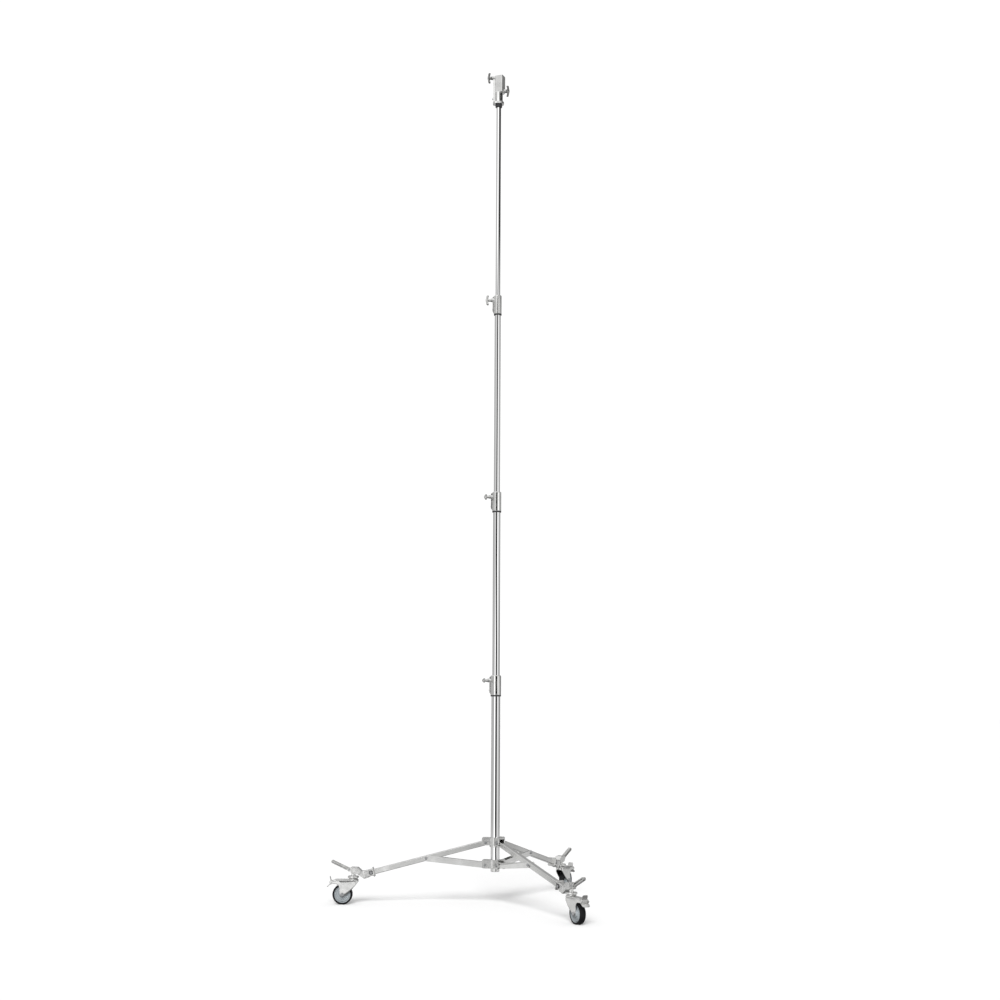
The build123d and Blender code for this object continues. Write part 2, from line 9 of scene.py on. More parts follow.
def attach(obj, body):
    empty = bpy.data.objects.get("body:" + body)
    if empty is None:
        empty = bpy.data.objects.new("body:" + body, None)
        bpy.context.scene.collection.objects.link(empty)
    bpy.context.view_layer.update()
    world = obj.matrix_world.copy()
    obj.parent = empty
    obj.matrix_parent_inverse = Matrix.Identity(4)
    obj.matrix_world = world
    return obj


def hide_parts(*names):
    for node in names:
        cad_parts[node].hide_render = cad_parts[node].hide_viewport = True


# A chrome roller stand for studio lights. Metres, row frame, +Z up, floor at Z = 0.
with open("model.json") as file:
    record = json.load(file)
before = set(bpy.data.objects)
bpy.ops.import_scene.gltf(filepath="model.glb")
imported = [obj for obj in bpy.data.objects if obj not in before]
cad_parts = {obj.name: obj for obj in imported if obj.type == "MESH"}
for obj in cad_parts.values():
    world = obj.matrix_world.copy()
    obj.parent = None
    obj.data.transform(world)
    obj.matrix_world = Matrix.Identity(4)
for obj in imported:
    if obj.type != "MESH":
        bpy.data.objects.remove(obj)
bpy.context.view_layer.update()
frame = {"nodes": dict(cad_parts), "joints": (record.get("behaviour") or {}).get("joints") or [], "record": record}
NODES = frame["nodes"]
JOINTS = {joint["name"]: joint for joint in frame["joints"]}
LEGS = {1: 180.0, 2: -60.0, 3: 60.0}     # leg number: azimuth in degrees
MM = 0.001

LENS_MM = 56.07
CAMERA_PLACE = (0.0164, -8.0, 1.0326)
CAMERA_PITCH, CAMERA_ROLL = 97.222, 0.274          # degrees
FLOOR_REACH = 90.0                                 # half width of the floor
DIFFUSE_LEVEL = 0.56                               # the world as matt surfaces and as the camera see it
BACKDROP_LEVEL = 1.05
CASTING_VOXEL = 0.8                                # melting of castings, in millimetres

# Handles: seat beyond the tube, reach of the bar, and the angle each one stands at
TUBE_RADII = {1: 22.5, 2: 19.0, 3: 16.0}
HANDLE_SEAT, HANDLE_REACH = 15.5, 26
HANDLE_SPINS = {1: 80, 2: 65, 3: 20}
HEAD_HANDLES = {"head_upper_handle": (36.5, 18, 5), "head_lower_handle": (38.5, 12, 10)}
BAR_HALF = 30.0

# The surround that metal mirrors, as rings at several elevations (degrees). Each ring is a list of
# (azimuth, brightness) stops; the camera looks from azimuth -90.
MIRROR_PEAK = 1.6
SURROUND = [
    (-60.0, [(-180, 0.12), (0, 0.10), (180, 0.12)]),
    (-28.0, [(-180, 0.20), (-90, 0.22), (0, 0.12), (90, 0.18), (180, 0.20)]),
    (-14.0, [(-180, 0.52), (-120, 0.62), (-90, 0.58), (-50, 0.52), (0, 0.42), (60, 0.42), (120, 0.48),
             (180, 0.52)]),
    (-6.8, [(-180, 0.48), (-150, 0.50), (-110, 0.62), (-60, 0.56), (-20, 0.46), (20, 0.44), (60, 0.42),
            (100, 0.44), (180, 0.48)]),
    (-5.9, [(-180, 0.48), (-150, 0.50), (-132, 0.56), (-122, 0.95), (-96, 0.95), (-91, 0.75), (-86, 0.0),
            (-60, 0.0), (-52, 0.55), (-30, 0.50), (-8, 0.46), (20, 0.42), (60, 0.40), (100, 0.42),
            (180, 0.48)]),
    (-4.4, [(-180, 0.34), (-150, 0.30), (-134, 0.38), (-124, 1.0), (-106, 1.0), (-99, 0.4), (-93, 0.0),
            (-58, 0.0), (-50, 0.55), (-30, 0.50), (-8, 0.38), (20, 0.20), (60, 0.16), (85, 0.22),
            (120, 0.30), (180, 0.34)]),
    (2.0, [(-180, 0.34), (-150, 0.30), (-134, 0.38), (-124, 1.0), (-108, 1.0), (-102, 0.4), (-97, 0.0),
           (-62, 0.0), (-55, 0.75), (-30, 0.55), (-8, 0.38), (20, 0.16), (60, 0.12), (85, 0.22),
           (120, 0.30), (180, 0.34)]),
    (5.0, [(-180, 0.32), (-150, 0.42), (-130, 0.43), (-116, 0.6), (-110, 0.0), (-70, 0.0), (-64, 1.0),
           (-46, 1.0), (-36, 0.5), (-12, 0.42), (15, 0.26), (60, 0.16), (100, 0.25), (180, 0.32)]),
    (14.0, [(-180, 0.32), (-150, 0.48), (-130, 0.43), (-114, 0.6), (-108, 0.0), (-74, 0.0), (-67, 0.9),
            (-48, 0.8), (-36, 0.40), (-12, 0.35), (15, 0.26), (60, 0.18), (100, 0.25), (180, 0.32)]),
    (17.0, [(-180, 0.4), (-160, 0.34), (-140, 0.42), (-125, 1.0), (-98, 1.0), (-84, 0.35), (-58, 0.20),
            (-50, 0.0), (8, 0.0), (20, 0.16), (60, 0.14), (90, 0.25), (120, 0.4), (180, 0.4)]),
    (26.0, [(-180, 0.4), (-160, 0.34), (-140, 0.42), (-125, 1.0), (-98, 1.0), (-84, 0.35), (-58, 0.20),
            (-50, 0.0), (8, 0.0), (20, 0.16), (60, 0.14), (90, 0.25), (120, 0.4), (180, 0.4)]),
    (40.0, [(-180, 0.60), (-110, 0.70), (-40, 0.50), (20, 0.22), (70, 0.25), (120, 0.45), (180, 0.60)]),
    (75.0, [(-180, 0.60), (0, 0.50), (180, 0.60)]),
]


# ---------------------------------------------------------------- camera, floor and light
def add_camera():
    """A long lens 8 m in front of the column, tilted up and leaning a little, as a hand-held one."""
    data = bpy.data.cameras.new("camera")
    data.lens = LENS_MM
    data.sensor_width = 36.0
    data.clip_end = 200.0
    camera = bpy.data.objects.new("camera", data)
    bpy.context.collection.objects.link(camera)
    pitch, roll = math.radians(CAMERA_PITCH), math.radians(CAMERA_ROLL)
    turn = Matrix.Rotation(pitch, 4, "X") @ Matrix.Rotation(roll, 4, "Z")
    camera.matrix_world = Matrix.Translation(CAMERA_PLACE) @ turn
    bpy.context.scene.camera = camera


def add_sun(name, azimuth, elevation, strength, spread):
    """A very large soft light far away, from an azimuth and an elevation in degrees. Metal doesn't
    mirror it, only the surround."""
    data = bpy.data.lights.new(name, "SUN")
    data.energy = strength
    data.angle = math.radians(spread)
    light = bpy.data.objects.new(name, data)
    a, e = math.radians(azimuth), math.radians(elevation)
    towards = Vector((math.cos(a) * math.cos(e), math.sin(a) * math.cos(e), math.sin(e)))
    light.rotation_euler = towards.to_track_quat("Z", "Y").to_euler()
    light.visible_glossy = False
    bpy.context.collection.objects.link(light)


def add_floor():
    """A pale matt floor so wide that its far edge melts into the backdrop. Chrome mirrors the surround,
    not this floor, so that its bands run on down to the legs."""
    mesh = bpy.data.meshes.new("floor")
    reach = FLOOR_REACH
    mesh.from_pydata([(-reach, -reach, 0), (reach, -reach, 0), (reach, reach, 0), (-reach, reach, 0)],
                     [], [(0, 1, 2, 3)])
    floor = bpy.data.objects.new("floor", mesh)
    bpy.context.collection.objects.link(floor)
    tree = new_material("floor", (0.93, 0.93, 0.93), 1.0)
    tree.nodes["Principled BSDF"].inputs["Specular IOR Level"].default_value = 0.0
    mesh.materials.append(FINISHES["floor"])
    floor.visible_glossy = False


def ring_of_surround(nodes, links, turns, stops):
    """One ring of the surround as a ramp over azimuth."""
    ramp = nodes.new("ShaderNodeValToRGB")
    links.new(turns, ramp.inputs[0])
    elements = ramp.color_ramp.elements
    for element, (azimuth, level) in zip(elements, (stops[0], stops[-1])):
        element.position = azimuth / 360 + 0.5
        element.color = (level, level, level, 1)
    for azimuth, level in stops[1:-1]:
        elements.new(azimuth / 360 + 0.5).color = (level, level, level, 1)
    return ramp.outputs[0]


def add_world():
    """White studio: plain for the camera and for matt surfaces, and with SURROUND's bands for metal."""
    world = bpy.data.worlds.new("studio")
    bpy.context.scene.world = world
    world.use_nodes = True
    nodes, links = world.node_tree.nodes, world.node_tree.links
    nodes.clear()
    place = nodes.new("ShaderNodeTexCoord")
    split = nodes.new("ShaderNodeSeparateXYZ")
    links.new(place.outputs["Generated"], split.inputs[0])
    angle = nodes.new("ShaderNodeMath")
    angle.operation = "ARCTAN2"
    links.new(split.outputs["Y"], angle.inputs[0])
    links.new(split.outputs["X"], angle.inputs[1])
    turns = nodes.new("ShaderNodeMath")
    turns.operation = "MULTIPLY_ADD"
    turns.inputs[1].default_value = 0.5 / math.pi
    turns.inputs[2].default_value = 0.5
    links.new(angle.outputs[0], turns.inputs[0])

    colour = ring_of_surround(nodes, links, turns.outputs[0], SURROUND[0][1])
    for (low, _), (high, stops) in zip(SURROUND, SURROUND[1:]):
        rise = nodes.new("ShaderNodeMapRange")
        rise.inputs["From Min"].default_value = math.sin(math.radians(low))
        rise.inputs["From Max"].default_value = math.sin(math.radians(high))
        links.new(split.outputs["Z"], rise.inputs["Value"])
        mix = nodes.new("ShaderNodeMix")
        mix.data_type = "RGBA"
        links.new(rise.outputs[0], mix.inputs["Factor"])
        links.new(colour, mix.inputs["A"])
        links.new(ring_of_surround(nodes, links, turns.outputs[0], stops), mix.inputs["B"])
        colour = mix.outputs["Result"]

    path = nodes.new("ShaderNodeLightPath")
    mirrored = nodes.new("ShaderNodeBackground")
    mirrored.inputs["Strength"].default_value = MIRROR_PEAK
    links.new(colour, mirrored.inputs["Color"])
    shader = mirrored.outputs[0]
    for ray, level in (("Is Diffuse Ray", DIFFUSE_LEVEL), ("Is Camera Ray", BACKDROP_LEVEL)):
        plain = nodes.new("ShaderNodeBackground")
        plain.inputs["Strength"].default_value = level
        plain.inputs["Color"].default_value = (1, 1, 1, 1)
        choose = nodes.new("ShaderNodeMixShader")
        links.new(path.outputs[ray], choose.inputs[0])
        links.new(shader, choose.inputs[1])
        links.new(plain.outputs[0], choose.inputs[2])
        shader = choose.outputs[0]
    out = nodes.new("ShaderNodeOutputWorld")
    links.new(shader, out.inputs[0])


# ---------------------------------------------------------------- materials
FINISHES = {}                            # our own materials by name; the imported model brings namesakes


def new_material(name, colour, roughness, metallic=0.0):
    material = bpy.data.materials.new(name)
    FINISHES[name] = material
    material.use_nodes = True
    shader = material.node_tree.nodes["Principled BSDF"]
    shader.inputs["Base Color"].default_value = (*colour, 1)
    shader.inputs["Roughness"].default_value = roughness
    shader.inputs["Metallic"].default_value = metallic
    return material.node_tree


def noise(tree, scale, detail=3.0, stretch=(1, 1, 1)):
    """Noise in object space, stretched along an axis where a finish runs one way."""
    place = tree.nodes.new("ShaderNodeTexCoord")
    mapping = tree.nodes.new("ShaderNodeMapping")
    mapping.inputs["Scale"].default_value = stretch
    field = tree.nodes.new("ShaderNodeTexNoise")
    field.inputs["Scale"].default_value = scale
    field.inputs["Detail"].default_value = detail
    tree.links.new(place.outputs["Object"], mapping.inputs[0])
    tree.links.new(mapping.outputs[0], field.inputs["Vector"])
    return field.outputs["Fac"]


def spread(tree, value, low, high):
    """Map a 0..1 field onto low..high."""
    span = tree.nodes.new("ShaderNodeMapRange")
    span.inputs["From Min"].default_value = 0.3
    span.inputs["From Max"].default_value = 0.7
    span.inputs["To Min"].default_value = low
    span.inputs["To Max"].default_value = high
    tree.links.new(value, span.inputs["Value"])
    return span.outputs[0]


def vary_roughness(tree, value, low, high):
    """Roughness that follows a field."""
    tree.links.new(spread(tree, value, low, high), tree.nodes["Principled BSDF"].inputs["Roughness"])


def vary_colour(tree, value, dark, light):
    mix = tree.nodes.new("ShaderNodeMix")
    mix.data_type = "RGBA"
    mix.inputs["A"].default_value = (*dark, 1)
    mix.inputs["B"].default_value = (*light, 1)
    tree.links.new(spread(tree, value, 0, 1), mix.inputs["Factor"])
    tree.links.new(mix.outputs["Result"], tree.nodes["Principled BSDF"].inputs["Base Color"])


def add_bump(tree, value, strength, distance):
    """Fine relief that follows a field."""
    bump = tree.nodes.new("ShaderNodeBump")
    bump.inputs["Strength"].default_value = strength
    bump.inputs["Distance"].default_value = distance
    tree.links.new(value, bump.inputs["Height"])
    tree.links.new(bump.outputs[0], tree.nodes["Principled BSDF"].inputs["Normal"])


def make_tube_chrome():
    """Bright chrome on drawn tube: faint lengthwise polish marks and a little handling haze."""
    tree = new_material("tube_chrome", (0.82, 0.82, 0.82), 0.05, 1.0)
    vary_roughness(tree, noise(tree, 9, stretch=(1, 1, 0.25)), 0.02, 0.06)


def make_leg_chrome():
    """Duller chrome on the legs, with light scuffs."""
    tree = new_material("leg_chrome", (0.79, 0.79, 0.78), 0.16, 1.0)
    vary_roughness(tree, noise(tree, 14, detail=6), 0.12, 0.22)
    vary_colour(tree, noise(tree, 5), (0.71, 0.71, 0.70), (0.87, 0.87, 0.86))
    add_bump(tree, noise(tree, 700), 0.04, 0.0002)


def make_cast_alloy():
    """Tumbled aluminium die casting."""
    tree = new_material("cast_alloy", (0.74, 0.74, 0.73), 0.16, 1.0)
    vary_roughness(tree, noise(tree, 60, detail=5), 0.12, 0.24)
    vary_colour(tree, noise(tree, 25), (0.70, 0.70, 0.69), (0.84, 0.84, 0.83))
    add_bump(tree, noise(tree, 160, detail=4), 0.12, 0.0008)


def make_brace_chrome():
    """Brighter chrome of the flat brace channels."""
    tree = new_material("brace_chrome", (0.95, 0.95, 0.94), 0.18, 1.0)
    vary_roughness(tree, noise(tree, 14, detail=6), 0.13, 0.24)
    vary_colour(tree, noise(tree, 6), (0.91, 0.91, 0.90), (0.98, 0.98, 0.97))
    add_bump(tree, noise(tree, 700), 0.04, 0.0002)


def make_collar_polish():
    """The clamp collars: the same casting, polished after tumbling."""
    tree = new_material("collar_polish", (0.80, 0.80, 0.79), 0.12, 1.0)
    vary_roughness(tree, noise(tree, 60, detail=5), 0.09, 0.18)
    vary_colour(tree, noise(tree, 25), (0.74, 0.74, 0.73), (0.85, 0.85, 0.84))
    add_bump(tree, noise(tree, 120, detail=3), 0.06, 0.0006)


def make_zinc_steel():
    """Bright zinc plate on pressed steel."""
    tree = new_material("zinc_steel", (0.80, 0.80, 0.79), 0.14, 1.0)
    vary_roughness(tree, noise(tree, 40, detail=5), 0.09, 0.20)
    vary_colour(tree, noise(tree, 18), (0.73, 0.73, 0.72), (0.86, 0.86, 0.85))
    add_bump(tree, noise(tree, 400), 0.05, 0.0002)


def make_fastener_steel():
    tree = new_material("fastener_steel", (0.5, 0.51, 0.52), 0.3, 1.0)
    vary_roughness(tree, noise(tree, 90, detail=5), 0.2, 0.42)
    vary_colour(tree, noise(tree, 70), (0.42, 0.43, 0.44), (0.6, 0.6, 0.61))


def make_handle_alloy():
    """Cast handles, polished on the high spots by hands."""
    tree = new_material("handle_alloy", (0.66, 0.66, 0.65), 0.2, 1.0)
    vary_roughness(tree, noise(tree, 70, detail=5), 0.12, 0.28)
    vary_colour(tree, noise(tree, 45), (0.56, 0.56, 0.55), (0.74, 0.74, 0.73))
    add_bump(tree, noise(tree, 300), 0.08, 0.0003)


def make_handle_polish():
    """The two T-handles of the head: darker and smoother than the other handles."""
    tree = new_material("handle_polish", (0.30, 0.30, 0.30), 0.12, 1.0)
    vary_roughness(tree, noise(tree, 70, detail=5), 0.08, 0.18)
    vary_colour(tree, noise(tree, 45), (0.22, 0.22, 0.22), (0.38, 0.38, 0.37))
    add_bump(tree, noise(tree, 300), 0.05, 0.0003)


def make_black_plastic():
    tree = new_material("black_plastic", (0.02, 0.02, 0.022), 0.45)
    vary_roughness(tree, noise(tree, 80, detail=4), 0.35, 0.6)
    vary_colour(tree, noise(tree, 30), (0.014, 0.014, 0.016), (0.03, 0.03, 0.032))
    add_bump(tree, noise(tree, 1500), 0.2, 0.0002)


def make_wheel_grey():
    """Blue-grey moulded wheel centre, its tone varying a little at random."""
    tree = new_material("wheel_grey", (0.29, 0.315, 0.33), 0.5)
    tree.nodes["Principled BSDF"].inputs["Specular IOR Level"].default_value = 0.25
    vary_roughness(tree, noise(tree, 60, detail=5), 0.36, 0.6)
    vary_colour(tree, noise(tree, 20), (0.245, 0.266, 0.278), (0.335, 0.362, 0.378))
    add_bump(tree, noise(tree, 900), 0.12, 0.0003)


def make_tyre_rubber():
    """Dark rubber, a little dusty from the floor."""
    tree = new_material("tyre_rubber", (0.007, 0.007, 0.008), 0.6)
    tree.nodes["Principled BSDF"].inputs["Specular IOR Level"].default_value = 0.14
    vary_roughness(tree, noise(tree, 50, detail=6), 0.5, 0.78)
    vary_colour(tree, noise(tree, 35, detail=5), (0.005, 0.005, 0.006), (0.012, 0.012, 0.013))
    add_bump(tree, noise(tree, 1200), 0.25, 0.0003)


def paint_nodes():
    """Every CAD node takes the material of its slot, or a finer variant of it."""
    for make in (make_tube_chrome, make_leg_chrome, make_brace_chrome, make_cast_alloy, make_collar_polish,
                 make_zinc_steel, make_fastener_steel, make_handle_alloy, make_handle_polish,
                 make_black_plastic, make_wheel_grey, make_tyre_rubber):
        make()
    variants = {f"leg_{number}_brace": "brace_chrome" for number in LEGS}
    for name in ("collar_1", "collar_2", "collar_3"):
        variants[name] = "collar_polish"
    for part in frame["record"]["subparts"]:
        node = NODES[part["node"]]
        node.data.materials.clear()
        finish = variants.get(part["node"], part["material_slot"])
        node.data.materials.append(FINISHES[finish])


# ---------------------------------------------------------------- mesh tools, in millimetres
def new_piece(name, build, placement, body, slot, *nodes):
    """A mesh made by build(bm) in local millimetres, put in place, riding on a body for some CAD nodes."""
    bm = bmesh.new()
    build(bm)
    bmesh.ops.recalc_face_normals(bm, faces=bm.faces)
    mesh = bpy.data.meshes.new(name)
    bm.to_mesh(mesh)
    bm.free()
    mesh.transform(placement @ Matrix.Scale(MM, 4))
    mesh.materials.append(FINISHES[slot])
    mesh.shade_smooth()
    piece = bpy.data.objects.new(name, mesh)
    bpy.context.collection.objects.link(piece)
    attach(piece, body)
    if nodes:
        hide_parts(*nodes)
    return piece


def join_rings(bm, rings, closed=True, caps=True):
    """Skin a list of rings (lists of points) with quads and close the two ends."""
    loops = [[bm.verts.new(point) for point in ring] for ring in rings]
    count = len(loops[0])
    for low, high in zip(loops, loops[1:]):
        for i in range(count if closed else count - 1):
            j = (i + 1) % count
            bm.faces.new((low[i], low[j], high[j], high[i]))
    if caps and closed:
        bm.faces.new(loops[0][::-1])
        bm.faces.new(loops[-1])
    return loops


def lathe(bm, profile, axis="X", segments=64, loop=False):
    """Turn a profile of (along, radius) points about an axis. A loop profile closes on itself."""
    rings = []
    for step in range(segments):
        a = 2 * math.pi * step / segments
        c, s = math.cos(a), math.sin(a)
        if axis == "X":
            rings.append([(x, r * c, r * s) for x, r in profile])
        elif axis == "Y":
            rings.append([(r * s, y, r * c) for y, r in profile])
        else:
            rings.append([(r * c, r * s, z) for z, r in profile])
    loops = join_rings(bm, rings, closed=False, caps=False)
    count = len(profile)
    for i in range(count - 1):
        bm.faces.new((loops[-1][i], loops[-1][i + 1], loops[0][i + 1], loops[0][i]))
    if loop:
        for ring, after in zip(loops, loops[1:] + loops[:1]):
            bm.faces.new((ring[-1], ring[0], after[0], after[-1]))
    else:
        for end in (0, -1):
            bm.faces.new([ring[end] for ring in loops])


def arc(cx, cy, radius, start, end, steps=8):
    """Points of an arc, angles in degrees."""
    turn = [math.radians(start + (end - start) * k / steps) for k in range(steps + 1)]
    return [(cx + radius * math.cos(a), cy + radius * math.sin(a)) for a in turn]


def fuse(piece, voxel, smooth):
    """Melt overlapping bodies of one casting together and round its edges."""
    remesh = piece.modifiers.new("fuse", "REMESH")
    remesh.mode = "VOXEL"
    remesh.voxel_size = voxel * MM
    remesh.use_smooth_shade = True
    soften = piece.modifiers.new("round", "SMOOTH")
    soften.factor = 0.5
    soften.iterations = smooth


def sharp_bevel(piece, width, segments=2):
    """Small bevels on the sharp edges, with flat faces kept flat."""
    weld = piece.modifiers.new("weld", "WELD")
    weld.merge_threshold = 0.00002
    bevel = piece.modifiers.new("bevel", "BEVEL")
    bevel.limit_method = "ANGLE"
    bevel.angle_limit = math.radians(35)
    bevel.width = width * MM
    bevel.segments = segments
    bevel.use_clamp_overlap = True
    bevel.harden_normals = False


# ---------------------------------------------------------------- handles and knob
def axis_frame(joint, spin):
    """Placement whose X runs out along a screw's joint axis from the column's axis, turned by spin."""
    axis = Vector(joint["axis"])
    height = joint["pos_m"][2]
    side = Vector((0, 0, 1)).cross(axis)
    turn = Matrix((axis, side, (0, 0, 1))).transposed().to_4x4()
    return Matrix.Translation((0, 0, height)) @ turn @ Matrix.Rotation(math.radians(spin), 4, "X")


def t_handle_builder(seat, reach):
    """Cast T-handle: flared boss at seat, waisted neck and a thick bar whose ends sweep back inwards."""
    bar = seat + reach

    def build(bm):
        boss = [(seat - 2, 5), (seat, 9.6), (seat + 3.5, 9.6), (seat + 7, 7.6), (bar - 5, 6.6), (bar, 8.0)]
        lathe(bm, boss, "X", 40)
        rings = []
        count = 40
        for k in range(count + 1):
            t = -1 + 2 * k / count
            end = min(1.0, (1 - abs(t)) / 0.14)
            full = max(math.sqrt(1 - (1 - end) ** 2), 0.05)
            thick = (5.6 + 1.6 * math.exp(-(t / 0.3) ** 2) + 1.0 * abs(t) ** 3) * full
            wide = (6.6 + 1.6 * math.exp(-(t / 0.28) ** 2) + 1.0 * abs(t) ** 3) * full
            x = bar - 0.5 - 4.5 * t * t
            rings.append([(x + thick * math.cos(a), wide * math.sin(a), BAR_HALF * t)
                          for a in (2 * math.pi * i / 24 for i in range(24))])
        join_rings(bm, rings)
    return build


def make_handles():
    """Five T-handles, each with its bare screw left as the CAD's inside the casting."""
    for number, radius in TUBE_RADII.items():
        name = f"collar_{number}_handle"
        joint = JOINTS[f"{name}_turn"]
        piece = new_piece(f"{name}_cast", t_handle_builder(radius + HANDLE_SEAT, HANDLE_REACH),
                          axis_frame(joint, HANDLE_SPINS[number]), name, "handle_alloy", name)
        fuse(piece, CASTING_VOXEL, 4)
    for name, (seat, reach, spin) in HEAD_HANDLES.items():
        piece = new_piece(f"{name}_cast", t_handle_builder(seat, reach),
                          axis_frame(JOINTS[f"{name}_turn"], spin), name, "handle_alloy", name)
        piece.data.materials[0] = FINISHES["handle_polish"]
        fuse(piece, CASTING_VOXEL, 4)


def make_knob():
    """Five-lobed plastic knob on a steel stud."""
    def build(bm):
        rings = []
        for x, grow in ((39.5, -3), (40.5, -1), (42, 0), (53, 0), (55.2, -1.2), (56, -4)):
            rings.append([(x, r * math.cos(a), r * math.sin(a)) for a, r in
                          ((b, 12.6 + grow + 1.4 * math.cos(5 * b)) for b in
                           (2 * math.pi * i / 60 for i in range(60)))])
        join_rings(bm, rings)
        lathe(bm, [(34.5, 7), (35, 8), (41, 8)], "X", 32)
    piece = new_piece("hub_knob_grip", build, axis_frame(JOINTS["hub_knob_turn"], 0), "hub_knob",
                      "black_plastic", "hub_knob")
    fuse(piece, CASTING_VOXEL, 3)


# ---------------------------------------------------------------- casters
WHEEL_R, CORE_R, TYRE_HALF, FORK_HALF = 50.0, 44.5, 15.0, 21.0


def joint_frame(joint, azimuth):
    """Placement at a joint's position, turned so that X points out along the leg."""
    return Matrix.Translation(joint["pos_m"]) @ Matrix.Rotation(math.radians(azimuth), 4, "Z")


def build_tyre(bm):
    """Rounded tread, a broad flat side wall each side and a bead over the core's rim."""
    side = [(-13.2, 41.2), (-14.6, 40.8), (-TYRE_HALF, 41.6), (-TYRE_HALF, 46.4), (-14.4, 47.6)]
    crown = arc(-10.8, 46.0, 4.0, 158, 95, 6) + [(-6.5, 49.9), (0, WHEEL_R), (6.5, 49.9)]
    crown += arc(10.8, 46.0, 4.0, 85, 22, 6)
    inner = [(12.4, CORE_R - 0.4), (-12.4, CORE_R - 0.4)]
    lathe(bm, side + crown + [(-y, r) for y, r in reversed(side)] + inner, "Y", 96, loop=True)


def build_core(bm):
    """Dished wheel centre: rim lip, stepped web with two concentric ridges, hub and bore."""
    side = [(12.4, CORE_R), (12.8, 42.0), (12.8, 40.4), (10.0, 39.6), (7.0, 38.6), (6.0, 34.9),
            (9.8, 34.2), (10.8, 32.8), (9.8, 31.2), (6.4, 30.4), (5.4, 26.0), (8.6, 25.2), (9.6, 23.8),
            (8.8, 22.2), (6.8, 21.4), (7.0, 18.0), (12.5, 15.6), (17.2, 13.6), (17.4, 12.6), (17.4, 6.1)]
    lathe(bm, side + [(-y, r) for y, r in reversed(side)], "Y", 96, loop=True)


def along(points, x):
    """Height at x of the line through points."""
    for (x0, z0), (x1, z1) in zip(points, points[1:]):
        if x <= x1:
            return z0 + (z1 - z0) * (x - x0) / (x1 - x0)
    return points[-1][1]


# Side outline of the fork's cheek about the swivel axis: lower edge with the round foot at the axle,
# and upper edge, both ending round the pedal's shaft at the nose
FORK_LOW = ([(-27, 114), (-24, 109), (-14, 97), (2, 79), (20, 62), (38, 46.5)]
            + arc(53, 50, 12, 202, 352, 12)
            + [(66, 54), (67, 82), (70, 90), (74, 96), (80, 100), (88, 102), (98, 102.4)]
            + arc(110, 110, 8.6, 240, 358, 10))
FORK_TOP = ([(-27, 118), (-24, 121.5), (-20, 123.2), (-16, 123.6), (86, 123.6), (93, 122.6), (99, 119.8)]
            + arc(110, 110, 8.6, 118, 2, 10))
HOOD_END = 93.0

# Distances from the swivel axis at which the fork's cross-section is drawn
FORK_STATIONS = [-26.6, -26, -24.8, -23, -20.5, -17, -12, -6, 0, 6, 14, 22, 30, 36, 39, 41, 42, 43.5, 46,
                 49.5, 53, 56.5, 60, 62.5, 64, 65, 65.6, 66.2, 66.7, 67.1, 68, 69.5, 71.5, 74, 77, 80, 84, 88,
                 HOOD_END, 96, 99, 102, 105, 108, 110, 112, 114, 115.6, 117, 118, 118.5]
FORK_NOSE_R = 27.0                   # radius of the domed front, and where it meets the cheeks
DOME_END = -16.98
SHEET_MM = 2.6


def build_fork(bm):
    """Pressed sheet: a domed front, a rounded hood, two cheeks down to the axle and two ears at the nose."""
    rings = []
    for x in FORK_STATIONS:
        width = math.sqrt(FORK_NOSE_R ** 2 - x * x) if x < DOME_END else FORK_HALF
        top = along(FORK_TOP, x)
        low = min(along(FORK_LOW, x), top - 1.2)
        corner = min(5.5, width * 0.6, (top - low) * 0.8)
        side = [(width, low + (top - corner - low) * k / 6) for k in range(6)]
        side += arc(width - corner, top - corner, corner, 0, 90, 6)
        half = side + [(width - corner - (width - corner) * k / 3, top) for k in (1, 2)]
        rings.append([(x, y, z) for y, z in half] + [(x, 0, top)] + [(x, -y, z) for y, z in reversed(half)])
    join_rings(bm, rings, closed=False, caps=False)
    gone = [face for face in bm.faces
            if face.calc_center_median().x > HOOD_END and abs(face.calc_center_median().y) < FORK_HALF - 3]
    bmesh.ops.delete(bm, geom=gone, context="FACES")


def build_pedal(bm):
    """Brake pedal: shaft with a roller, web, a curved leaf to step on and a thin upright release tab."""
    lathe(bm, [(-FORK_HALF - 1, 3.4), (-FORK_HALF - 0.6, 3.9), (FORK_HALF + 0.6, 3.9), (FORK_HALF + 1, 3.4)],
          "Y", 24)
    lathe(bm, [(-16.5, 4.6), (-15.7, 5.4), (15.7, 5.4), (16.5, 4.6)], "Y", 32)
    leaf, half_t = [], 1.1
    for k in range(13):
        t = k / 12
        x, z = -5.5 + 25.5 * t, -7.5 - 7.0 * t - 10.5 * t * t
        slope = math.atan2(-7.0 - 21.0 * t, 25.5)
        width = 19.5 + 1.3 * math.sin(math.pi * t) if t < 0.8 else 20.2 - 7.5 * ((t - 0.8) / 0.2) ** 2.2
        leaf.append(plate_ring(x, z, slope, width, half_t, 1.6))
    join_rings(bm, leaf)
    tab = []
    for k in range(11):
        t = k / 10
        x, z = 1.0 + 4.5 * t + 2.0 * t * t, 3.0 + 25.0 * t
        slope = math.atan2(25.0, 4.5 + 4.0 * t)
        width = 15.0 if t < 0.8 else 15.0 - 5.0 * ((t - 0.8) / 0.2) ** 2
        tab.append(plate_ring(x, z, slope, width, half_t, 0.8))
    join_rings(bm, tab)
    web = [[(x, y, z) for x, z in ((-1.6, -9.0), (1.6, -10.0), (2.2, 1.0), (-1.6, 1.0))] for y in (-16, 16)]
    join_rings(bm, web)


